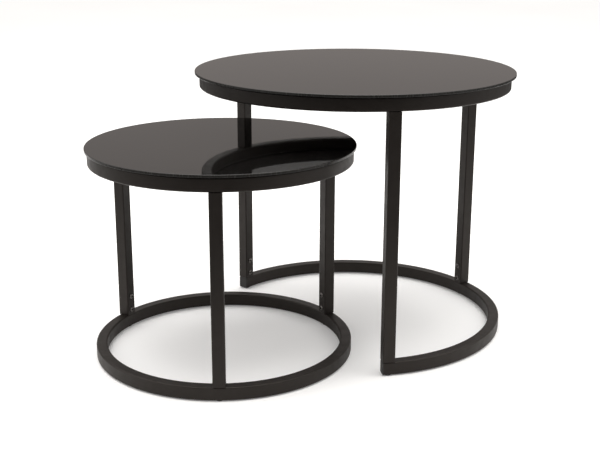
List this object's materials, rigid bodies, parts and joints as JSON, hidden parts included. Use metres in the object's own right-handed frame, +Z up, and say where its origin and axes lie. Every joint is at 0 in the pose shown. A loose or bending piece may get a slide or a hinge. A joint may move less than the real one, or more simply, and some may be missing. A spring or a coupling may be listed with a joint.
{
  "type": "nesting tables",
  "caption": "Pair of round nesting side tables with black glass tops on black steel frames; the smaller slides in under the larger.",
  "frame": {"origin": "on the floor, at the middle of the pair's length and width with the small table half pulled out", "axes": "+X along the nesting direction, from the small table to the large one; +Y across it; +Z up"},
  "size_m": [0.828, 0.5999, 0.5],
  "materials": {
    "black_glass": "gloss",
    "black_powder_coat": "satin",
    "black_steel": "satin",
    "zinc_steel": "satin",
    "black_plastic": "matte",
    "clear_silicone": "matte"
  },
  "bodies": {
    "large_table": {"large_glass_top": "black_glass", "large_glass_pads": "clear_silicone", "large_top_ring": "black_powder_coat", "large_top_screws": "zinc_steel", "large_leg_bolts": "black_steel", "large_base_ring": "black_powder_coat", "large_leg_middle": "black_powder_coat", "large_leg_left": "black_powder_coat", "large_leg_right": "black_powder_coat", "large_nut_block_middle": "zinc_steel", "large_nut_block_left": "zinc_steel", "large_nut_block_right": "zinc_steel", "large_spigot_middle": "black_powder_coat", "large_spigot_left": "black_powder_coat", "large_spigot_right": "black_powder_coat", "large_glide_middle": "black_plastic", "large_glide_left": "black_plastic", "large_glide_right": "black_plastic", "large_end_cap_left": "black_plastic", "large_end_cap_right": "black_plastic"},
    "small_table": {"small_glass_top": "black_glass", "small_glass_pads": "clear_silicone", "small_top_ring": "black_powder_coat", "small_top_screws": "zinc_steel", "small_leg_bolts": "black_steel", "small_base_ring": "black_powder_coat", "small_leg_middle": "black_powder_coat", "small_leg_left": "black_powder_coat", "small_leg_right": "black_powder_coat", "small_nut_block_middle": "zinc_steel", "small_nut_block_left": "zinc_steel", "small_nut_block_right": "zinc_steel", "small_spigot_middle": "black_powder_coat", "small_spigot_left": "black_powder_coat", "small_spigot_right": "black_powder_coat", "small_glide_middle": "black_plastic", "small_glide_left": "black_plastic", "small_glide_right": "black_plastic"}
  },
  "joints": [
    {"name": "small_table_slide", "type": "slide", "parent": "large_table", "child": "small_table", "axis": [1, 0, 0], "range_m": [-0.3, 0.315]}
  ]
}
